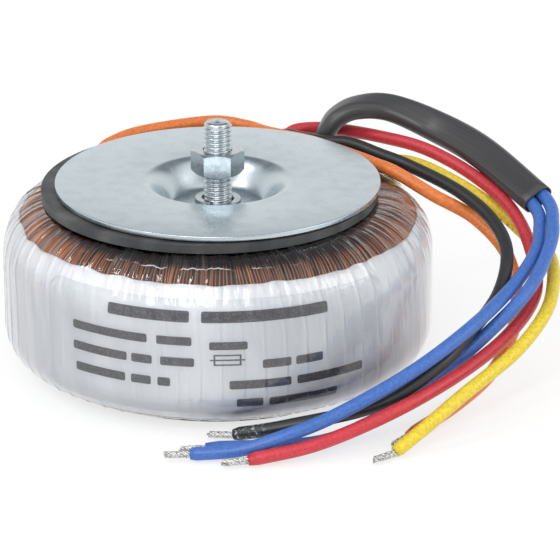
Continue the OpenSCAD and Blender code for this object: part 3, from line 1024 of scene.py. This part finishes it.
@dataclass
class Harness:
    """The six leads and the flat sleeve over the two blue ones. Points are in millimetres.

    Attributes:
        sleeve_route: middle of the sleeve.
        pair_step: half the step from the first blue lead to the second, at each sleeve point.
        sleeve_gap: between the leads and the sleeve.
        sleeve_wall: thickness of the sleeve.
        sleeve_length: along its middle.
        loop: points on each loop of the sleeve.
    """

    sleeve_route: np.ndarray = field(default_factory=lambda: np.array([
        [18.2, 30.6, 28.8], [19.2, 30.3, 31.2], [21, 30.6, 33.6], [24.6, 31.3, 35.1],
        [30.5, 31.8, 34.9], [38.5, 28.5, 32.6], [46.5, 19.5, 30.7], [55.6, 5.5, 26.9]]))
    pair_step: np.ndarray = field(default_factory=lambda: np.array([
        [0, 1.1, -0.5], [-0.1, 1.15, -0.4], [-0.2, 1.2, -0.2], [-0.1, 1.2, 0.1],
        [0, 1.1, 0.5], [0.45, 0.7, 0.9], [0.8, 0.4, 0.9], [1, 0.4, 0.6]]))
    sleeve_gap: float = 0.3
    sleeve_wall: float = 0.25
    sleeve_length: float = 52.0
    loop: int = 36

    def leads(self) -> list[Lead]:
        """The leads, with the colours of their skins."""
        blue = (0.052, 0.155, 0.5)
        blue_1 = np.vstack([self.sleeve_route - self.pair_step, np.array([
            [55.5, -1.5, 23.5], [54, -8, 21.5], [49.5, -17, 19], [42, -27.5, 16],
            [32, -35.5, 11.5], [19.5, -41.5, 6.5], [10.5, -44.5, 3.9], [4, -44.8, 1.9],
            [-4, -45, 1.3]])])
        blue_2 = np.vstack([self.sleeve_route + self.pair_step, np.array([
            [57.7, -1.5, 25.1], [56.5, -8, 22.5], [52.5, -17.5, 19], [45.4, -23.2, 13.5],
            [36.5, -26.7, 6.5], [31, -30.5, 3.9], [25.5, -34.5, 2.2], [16, -40.5, 1.2],
            [-1.5, -42.5, 1.2]])])
        orange = np.array([
            [-19.5, 25, 30.6], [-14, 30, 31], [-2, 35.4, 31], [4.5, 33.9, 30.7],
            [7.8, 30.6, 30.8], [11.2, 27.2, 31.15], [16.7, 23.7, 31.1], [23.8, 16.7, 31.0],
            [27.6, 12.6, 30.9], [31, 9.5, 30.5], [37.5, 7.5, 27], [45, 6, 23],
            [50.5, 1.5, 17.5], [51.5, -7, 10.5], [47.5, -17, 5], [41, -26, 2.3],
            [32, -37.5, 1.2]])
        black = np.array([
            [-1, 32.4, 27.4], [5, 32.3, 27.6], [11, 30.5, 30.1], [14, 28.9, 30.3],
            [18.5, 25.7, 30.6], [23.2, 23.2, 31.1], [28.4, 19.6, 30.3], [34, 16, 29.2],
            [42, 8, 27.5], [47.5, 0, 25], [49.5, -8, 22], [47.5, -16, 17.5],
            [42.2, -25, 14.2], [36.8, -31.5, 11], [27, -36.3, 6.3], [12, -38, 3.2],
            [3, -37, 1.2]])
        yellow = np.array([
            [24.5, 23, 27.3], [28.5, 25, 27.2], [35, 22.5, 27.5], [43, 15.5, 25.8],
            [49.5, 11, 22.5], [54, 7, 19.5], [57.5, 0, 18.5], [57.5, -8.5, 16.5],
            [55.5, -17, 14.5], [50, -26, 11.3], [41, -35, 7.5], [34.5, -40.5, 4],
            [29.5, -44, 1.2]])
        red = np.array([
            [11.5, 32.6, 28.9], [14, 34, 30], [20, 35, 29.8], [29, 29, 30.3], [37, 23.5, 29.8],
            [45, 16.8, 27.3], [51, 8, 24.5], [54, -1, 20.5], [54.5, -9, 15.5], [50, -19, 12.5],
            [42, -28.5, 9.5], [30, -38.5, 6.3], [17, -44.5, 2.9], [5.5, -47.2, 1.2]])
        return [
            Lead("blue_1", blue_1, LeadSkin(blue), (-0.4, -0.2, -2.6)),
            Lead("blue_2", blue_2, LeadSkin(blue), (-0.4, -0.2, -2.6)),
            Lead("orange", orange, LeadSkin((0.76, 0.2, 0.04)), (-2.2, -1.2, -1.6)),
            Lead("black", black, LeadSkin((0.022, 0.024, 0.026), Marks.SCUFFS),
                 (-2.4, -0.6, -1.6)),
            Lead("yellow", yellow, LeadSkin((0.8, 0.61, 0.035), Marks.DASHES), (-2.0, -2.0, -0.2)),
            Lead("red", red, LeadSkin((0.6, 0.04, 0.055)), (-1.8, -1.4, -1.8)),
        ]

    def stadium(self, out: float, path: np.ndarray, step: np.ndarray) -> np.ndarray:
        """Loops of the sleeve: two half circles joined by flats, carried along the path.

        Args:
            out: distance outside the insulation of the two leads, in millimetres.
            path: middle of the sleeve.
            step: half step between the leads, one row for each point.

        Returns:
            Grid of points (path, loop, 3).
        """
        tangent = unit(np.gradient(path, axis=0))
        flat = step - (step * tangent).sum(1, keepdims=True) * tangent
        u = unit(flat)
        v = np.cross(tangent, u)
        r = Lead.radius + out
        a = TAU * (np.arange(self.loop) + 0.5) / self.loop
        shift = np.tanh(6 * np.cos(a))
        return (path[:, None] + shift[None, :, None] * flat[:, None]
                + r * np.cos(a)[None, :, None] * u[:, None]
                + r * np.sin(a)[None, :, None] * v[:, None])

    def sleeve(self) -> bpy.types.Object:
        """Flat sleeve with its wall, open at both ends, the cut rim in its own finish."""
        both = smooth_path(np.hstack([self.sleeve_route, self.pair_step]), 10)
        path, step = both[:, :3], both[:, 3:]
        outer = self.stadium(self.sleeve_gap + self.sleeve_wall, path, step) * MM
        inner = self.stadium(self.sleeve_gap, path, step)[::-1] * MM
        wall = np.vstack([outer, inner])
        along = np.linspace(0, self.sleeve_length, len(path))
        around = (np.arange(self.loop) + 0.5) / self.loop
        uv = np.stack(np.broadcast_arrays(np.concatenate([along, along[::-1]])[:, None],
                                          around[None, :]), axis=-1)
        obj = grid_mesh("blue_sleeve", wall, close_u=True, close_v=True, uv=uv,
                        material=SleeveSkin().material("sleeve_grey_skin"))
        obj.data.materials.append(CutPlastic().material("sleeve_cut"))
        rows = len(path)
        index = np.zeros(len(obj.data.polygons), dtype=np.int32)
        index[(rows - 1) * self.loop:rows * self.loop] = 1
        index[-self.loop:] = 1
        obj.data.polygons.foreach_set("material_index", index)
        return obj

    def build(self) -> None:
        """All leads, then the sleeve."""
        rng = np.random.default_rng(7)
        tinned = Tinned().material("tinned_strands")
        for lead in self.leads():
            lead.build(tinned, rng)
        hand_in(self.sleeve(), "primary_sleeve")


# ---------------------------------------------------------------- the ring


@dataclass
class WoundRing:
    """Winding, white band, label, print and clear film.

    Attributes:
        hole: radius of the hole at the film's surface.
        hole_round: corner radius on the hole side.
        top_round: corner radius of the upper shoulder.
        bottom_round: corner radius of the lower shoulder.
        pleat_rise: room kept for the film's pleats under the solid's crest.
        winding_depth: from the film's surface to the crest of a turn.
        band_depth: from the film's surface to the white band.
        label_depth: from the film's surface to the label.
        print_depth: from the film's surface to the print.
        print_radius: radius of the wall where the print's places are measured.
        turns: turns of wire round the ring.
        wall_counts: points on the parts of the section of the band, the label and the print.
    """

    hole: float = 10.74 * MM
    hole_round: float = 5.3 * MM
    top_round: float = 9.9 * MM
    bottom_round: float = 6.3 * MM
    pleat_rise: float = 0.12 * MM
    winding_depth: float = 0.42 * MM
    band_depth: float = 0.24 * MM
    label_depth: float = 0.15 * MM
    print_depth: float = 0.12 * MM
    print_radius: float = 37.0 * MM
    turns: int = 400
    wall_counts: tuple[int, ...] = (14, 6, 24, 4, 2, 1, 2, 4)

    def surface(self) -> RingSection:
        """Section of the film's surface, from the solid's box."""
        low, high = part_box("film_wrap")
        crest = RingSection(self.hole, high[0], low[2], high[2], self.hole_round, self.top_round,
                            self.bottom_round)
        return crest.inset(self.pleat_rise)

    def wall(self, section: RingSection) -> np.ndarray:
        """Rows of a section from its lower to its upper shoulder."""
        return section.rows(self.wall_counts)[:sum(self.wall_counts[:3])]

    def winding(self) -> bpy.types.Object:
        """Secondary turns as one sheet: its radius grows by half a wire over each turn, as the
        cosine of the place in the turn, and each turn wanders on its own smooth line."""
        rng = np.random.default_rng(11)
        section = self.surface().inset(self.winding_depth)
        rows = section.rows((4, 1, 12, 5, 4, 1, 4, 2))
        per_turn = 5
        turn = np.repeat(np.arange(self.turns), per_turn)
        local = np.tile(np.arange(per_turn) / per_turn, self.turns)
        height = np.sin(np.pi * local) ** 2
        q = rows[None, :, 4] / (20 * MM)
        loose = rng.normal(0, 1, (self.turns, 4))
        near = sum(np.roll(loose, k, 0) for k in range(-2, 3)) / 2.2
        wander = sum(near[:, k, None] * np.sin((k + 1) * q + k) for k in range(4))
        base = (turn + local)[:, None] / self.turns
        theta = TAU * (base + 0.42 * wander[turn] / self.turns)
        tall = rng.uniform(0.75, 1.15, self.turns)[turn]
        lift = (0.26 * MM * (tall * height - 1))[:, None] * np.ones_like(q)
        r = rows[None, :, 0] + lift * rows[None, :, 2]
        z = rows[None, :, 1] + lift * rows[None, :, 3]
        obj = grid_mesh("secondary_turns", polar(r, theta, z), close_u=True, close_v=True,
                        material=Copper().material("copper_turns"))
        for name, values in (("tint", rng.random(self.turns)[turn]), ("depth", height)):
            data = np.repeat(values, len(rows)).astype(np.float32)
            obj.data.attributes.new(name, "FLOAT", "POINT").data.foreach_set("value", data)
        return obj

    def band(self) -> bpy.types.Object:
        """White tape round the wall, from low on the lower shoulder to high on the upper one; its
        upper edge wavers, and its wall is thin."""
        rng = np.random.default_rng(5)
        rows = self.wall(self.surface().inset(self.band_depth))
        low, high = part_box("side_band")
        rows = rows[(rows[:, 1] > low[2] - 2.9 * MM) & (rows[:, 1] < high[2] + 1.2 * MM)]
        a = np.linspace(0, TAU, 720, endpoint=False)[:, None]
        waver = ripple(np.cos(a), np.sin(a), rng, 10, 2.0, 9.0) * 0.12 * MM
        edge = high[2] - 0.15 * MM + waver
        z = np.minimum(rows[None, :, 1], edge)
        r = np.interp(z, rows[:, 1], rows[:, 0])
        r = r + 0.03 * MM * ripple(a / TAU, 0 * a, rng, 14, 20.0, 90.0)
        both = [polar(r, a, z), polar(r - 0.12 * MM, a, z)[:, ::-1]]
        return grid_mesh("white_band", np.concatenate(both, axis=1), close_u=True,
                         close_v=True, material=Tape().material("white_tape_skin"))

    def patch(self, name: str, angle: tuple[float, float], height: tuple[float, float],
              depth: float, corner: float, material: bpy.types.Material, columns: int
              ) -> bpy.types.Object:
        """Thin patch on the wall with rounded corners.

        The patch is a rectangle of arc and height; near its ends each column is shortened by
        the rise of a quarter circle of the corner's radius.

        Args:
            name: name of the object.
            angle: first and last angle in degrees, 0 at the front and growing to +X.
            height: lower and upper height, in metres.
            depth: how far it lies under the film's surface.
            corner: radius of its corners.
            material: its material.
            columns: steps along the arc.

        Returns:
            The patch.
        """
        section = self.surface().inset(depth)
        wall = self.wall(section)
        t = (1 - np.cos(np.linspace(0, np.pi, columns))) / 2
        a = np.radians(angle[0] + (angle[1] - angle[0]) * t)
        arc = abs(a - a[0]) * section.outer
        left = np.minimum(arc, arc[-1] - arc)
        short = corner - np.sqrt(np.maximum(corner ** 2 - np.maximum(corner - left, 0) ** 2, 0))
        v = np.linspace(0, 1, 14)[None, :]
        z = height[0] + short[:, None] + (height[1] - height[0] - 2 * short[:, None]) * v
        r = np.interp(z, wall[:, 1], wall[:, 0])
        x, y = r * np.sin(a)[:, None], -r * np.cos(a)[:, None]
        front = np.stack([x, y, z], axis=-1)
        k = 1 - 0.03 * MM / r
        back = np.stack([x * k, y * k, z], axis=-1)[:, ::-1]
        return grid_mesh(name, np.concatenate([front, back], axis=1), close_v=True,
                         caps=True, material=material)

    def label(self) -> bpy.types.Object:
        """Rating label on the front of the band."""
        low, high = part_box("rating_label")
        stock = LabelStock().material("label_stock")
        half = math.degrees(math.asin(high[0] / self.surface().outer))
        return self.patch("label", (-half, half), (low[2] - 1.8 * MM, high[2] - 0.6 * MM),
                          self.label_depth, 2 * MM, stock, 80)

    def mark(self, low: float, high: float, span: tuple[float, float], corner: float,
             columns: int, ink: bpy.types.Material) -> bpy.types.Object:
        """One mark of the print, sizes in millimetres.

        Args:
            low: lower height.
            high: upper height.
            span: first and last X on the wall.
            corner: radius of its corners.
            columns: steps along the arc.
            ink: its material.

        Returns:
            The mark.
        """
        angles = tuple(math.degrees(math.asin(x * MM / self.print_radius)) for x in span)
        return self.patch("mark", angles, (low * MM, high * MM), self.print_depth, corner * MM,
                          ink, columns)

    def print_marks(self) -> bpy.types.Object:
        """Plain bars in rows, and a box with a line through it, in place of the printed matter."""
        ink = Ink().material("label_ink")
        rows = [
            (22.0, 0.95, ((-17.7, -4.2), (-2.2, 18.6))),
            (17.7, 0.75, ((-23.6, -11.2), (-9.6, -3.8))),
            (14.0, 0.75, ((-23.6, -14.6), (-13.8, -10.4), (-9.0, -3.4))),
            (13.5, 0.75, ((7.9, 12.6), (13.4, 17.8))),
            (10.3, 0.75, ((-23.2, -14.9), (-13.9, -10.6), (-9.5, -7.4))),
            (10.0, 0.75, ((2.4, 12.6), (13.6, 24.4))),
            (6.7, 0.75, ((3.6, 8.0), (9.0, 20.2))),
            (17.0, 0.7, ((-0.9, 5.4),)),
        ]
        box = [
            (15.2, 15.45, (-0.1, 4.3)), (13.5, 13.75, (-0.1, 4.3)), (13.5, 15.45, (-0.2, 0.1)),
            (13.5, 15.45, (4.1, 4.4)), (14.35, 14.6, (-0.8, 5.0)),
        ]
        bars = [self.mark(z - half, z + half, span, 0.3, 24, ink)
                for z, half, spans in rows for span in spans]
        lines = [self.mark(low, high, span, 0.02, 8, ink) for low, high, span in box]
        return join("label_print", bars + lines)

    def film(self) -> bpy.types.Object:
        """Clear wrap as one sheet. Its rise over the section is the sum of laps, each a ramp that
        drops at its edge, of pleats, each a narrow bell across and a wide one along the outline,
        and of a slow ripple."""
        rng = np.random.default_rng(23)
        rows = self.surface().rows((10, 8, 14, 9, 6, 2, 6, 5))
        columns = 1440
        base = np.linspace(0, 1, columns, endpoint=False)[:, None]
        q = rows[None, :, 4]
        laps = 64
        phase = laps * (base + 0.35 / laps * np.sin(q / (11 * MM)))
        lap = (phase % 1.0) * 0.1 * MM
        rise = lap + 0.03 * MM * ripple(base * 30, q / (10 * MM), rng, 16, 0.15, 0.9)
        upper, lower = 1.5 * MM, -40 * MM
        for centre, count, size in ((upper, 150, 0.2), (lower, 90, 0.16)):
            middle = rng.random(count)
            wide = rng.uniform(0.25, 0.75, count) * MM / (TAU * 34 * MM)
            tall = rng.uniform(0.25, 1.0, count) * size * MM
            long = rng.uniform(3.5, 9.0, count) * MM
            slant = rng.normal(0, 0.0006, count) / MM
            for m, w, h, span, lean in zip(middle, wide, tall, long, slant):
                off = (base - m - lean * (q - centre) * 0.35 + 0.5) % 1.0 - 0.5
                rise = rise + h * np.exp(-(off / w) ** 2) * np.exp(-((q - centre) / span) ** 4)
        r = rows[None, :, 0] + rise * rows[None, :, 2]
        z = rows[None, :, 1] + rise * rows[None, :, 3]
        return grid_mesh("clear_film", polar(r, TAU * base, z), close_u=True, close_v=True,
                         material=ClearFilm().material("clear_film_skin"))

    def build(self) -> None:
        """Makes the layers from the winding outwards."""
        for make, node, slot in ((self.winding, "secondary_winding", "copper"),
                                 (self.band, "side_band", "white_tape"),
                                 (self.label, "rating_label", "label_paper"),
                                 (self.print_marks, None, "label_paper"),
                                 (self.film, "film_wrap", "clear_film")):
            hand_in(make(), node)


# ---------------------------------------------------------------- the mounting hardware


@dataclass
class Hardware:
    """Plate, pads, bolt, washers and nut.

    Attributes:
        pitch: of the thread.
        thread_depth: from the crest to the root.
        across_flats: of the bolt's head and the nut.
        head_height: of the bolt's head.
        plate_thickness: of the plate's sheet.
        cup_floor: radius of the cup's flat floor.
        cup_top: radius of the cup at the plate.
    """

    pitch: float = 0.8 * MM
    thread_depth: float = 0.46 * MM
    across_flats: float = 8 * MM
    head_height: float = 3.5 * MM
    plate_thickness: float = 0.9 * MM
    cup_floor: float = 7.9 * MM
    cup_top: float = 13.1 * MM

    def plate(self, zinc: bpy.types.Material) -> bpy.types.Object:
        """Dished plate: a sheet whose middle line drops as half a cosine wave from the rim to the
        cup's floor."""
        low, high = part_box("mounting_plate")
        t = self.plate_thickness
        x = np.linspace(0, 1, 25)
        r = np.concatenate([[2.65 * MM], self.cup_floor + (self.cup_top - self.cup_floor) * x,
                            [high[0]]])
        drop = high[2] - low[2] - t
        rise = np.concatenate([[0], (1 - np.cos(np.pi * x)) / 2, [1]]) * drop + low[2]
        line = np.stack([r, rise], axis=-1)
        slope = np.gradient(line, axis=0)
        normal = unit(np.stack([-slope[:, 1], slope[:, 0]], axis=-1))
        profile = np.vstack([line, (line + t * normal)[::-1]])
        return grid_mesh("plate", revolve(rounded(profile, 0.18 * MM), 192), close_u=True,
                         close_v=True, flip=True, material=zinc)

    def hexagon(self, z: np.ndarray, limit: np.ndarray, columns: int = 96) -> np.ndarray:
        """Rings of a chamfered hexagon: the radius is that of the flat at each angle, or the
        chamfer's where that is smaller.

        Args:
            z: heights of the rings.
            limit: chamfer's radius at each height.
            columns: steps round the axis, a multiple of 12.

        Returns:
            Grid of points (rings, columns, 3).
        """
        a = np.linspace(0, TAU, columns, endpoint=False)[None, :]
        flat = self.across_flats / 2 / np.cos((a + math.pi / 6) % (math.pi / 3) - math.pi / 6)
        r = np.minimum(flat, limit[:, None])
        return polar(r, a, z[:, None])

    def bolt(self, zinc: bpy.types.Material) -> bpy.types.Object:
        """Bolt whose thread is a function of angle and height: the crest's radius less the
        thread's depth times a rounded saw of height / pitch - angle / turn."""
        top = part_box("bolt")[1][2]
        crest, columns = 2.5 * MM, 64
        z = np.arange(self.head_height, top - 0.2 * MM, self.pitch / 9)
        a = np.linspace(0, TAU, columns, endpoint=False)[None, :]
        saw = np.abs(((z[:, None] / self.pitch - a / TAU) % 1.0) - 0.5) * 2
        depth = self.thread_depth * (1 - smooth_step(saw, -0.1, 1.1))
        depth = depth * smooth_step(z[:, None], 6 * MM, 8 * MM)
        tip = 0.42 * MM * smooth_step(z[:, None], top - 0.75 * MM, top - 0.2 * MM)
        r = np.minimum(crest - depth, crest - tip)
        shank = polar(r, a, z[:, None])
        dome = np.stack([np.concatenate([c * shank[-1:, :, :2],
                                         np.full((1, columns, 1), top - k * MM)], axis=-1)[0]
                         for c, k in ((0.96, 0.08), (0.6, 0.03), (0.02, 0.0))])
        h = self.head_height
        corner = self.across_flats / 2 / math.cos(math.pi / 6)
        heights = np.array([0.0, 0.0, 0.1, 0.25, 0.4, 1.0, 1.0]) * np.array(
            [1, 1, h, h, h, h, h])
        limits = np.array([0.001 * MM, 0.47 * self.across_flats, corner - 0.25 * MM,
                           corner, 1.1 * corner, 1.1 * corner, 2.2 * MM])
        head = self.hexagon(heights, limits)
        threaded = grid_mesh("bolt_shank", np.concatenate([shank, dome]), close_v=True, caps=True,
                             material=zinc)
        cap = grid_mesh("bolt_head", head, close_v=True, smooth=False, material=zinc)
        return join("bolt_threaded", [threaded, cap])

    def spring(self, zinc: bpy.types.Material) -> bpy.types.Object:
        """Split washer: a rounded square section carried round a helix that rises by half its
        thickness, with its split at the front left."""
        low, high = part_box("spring_washer")
        a = np.radians(-105 + 12 + np.linspace(0, 336, 85))
        rise = np.linspace(0, 0.45 * MM, 85)
        inner, outer = 2.75 * MM, high[0]
        height = (high[2] - low[2]) * 0.82
        box = rounded(np.array([[inner, 0], [outer, 0], [outer, height], [inner, height]]),
                      0.15 * MM)
        r, z = box[None, :, 0], box[None, :, 1] + low[2] + rise[:, None]
        return grid_mesh("split_washer", polar(r, a[:, None], z), close_v=True, caps=True,
                         flip=True, material=zinc)

    def build(self) -> None:
        """New pieces for what has a thread, a twist or a pressed curve; finishes for the rest."""
        plate_zinc = Zinc().material("plate_zinc")
        bright = Zinc(colour=(0.54, 0.59, 0.62), shade=(0.56, 0.6, 0.62), roughness=0.24,
                      mottle=1.2, relief=0.03).material("hardware_zinc")
        hand_in(self.plate(plate_zinc), "mounting_plate")
        hand_in(self.bolt(bright), "bolt")
        hand_in(self.spring(bright), "spring_washer")
        rubber = Rubber().material("sheet_rubber")
        for node, mat in (("nut", bright), ("head_washer", bright), ("upper_pad", rubber),
                          ("lower_pad", rubber)):
            dress(node, mat)


def dress(node: str, material: bpy.types.Material) -> None:
    """Puts a material on every slot of a carried-over solid."""
    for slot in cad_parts[node].material_slots:
        slot.material = material
    log.info("%s: %s", node, material.name)


def hidden_pieces() -> None:
    """Finishes of the sealed pieces inside the ring."""
    tape = PlainSkin((0.85, 0.66, 0.2), 0.25).material("amber_tape")
    for node, material in (
            ("core", StripSteel().material("core_strip")),
            ("core_wrap", PlainSkin((0.85, 0.83, 0.72)).material("core_paper")),
            ("primary_winding", PlainSkin((0.5, 0.19, 0.08), 0.3).material("primary_copper")),
            ("thermal_fuse", PlainSkin((0.82, 0.78, 0.66), 0.4).material("fuse_body")),
            ("fuse_sleeve", PlainSkin((0.9, 0.9, 0.88), 0.5).material("fuse_glass_cloth")),
            ("winding_barrier", tape)):
        dress(node, material)


def main() -> None:
    """Camera first, then the cords, the ring, the hardware and the studio."""
    logging.basicConfig(level=logging.INFO, format="%(message)s")
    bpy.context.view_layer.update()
    studio = Studio()
    studio.camera()
    Harness().build()
    WoundRing().build()
    Hardware().build()
    hidden_pieces()
    studio.build()


if __name__ == "__main__":
    main()
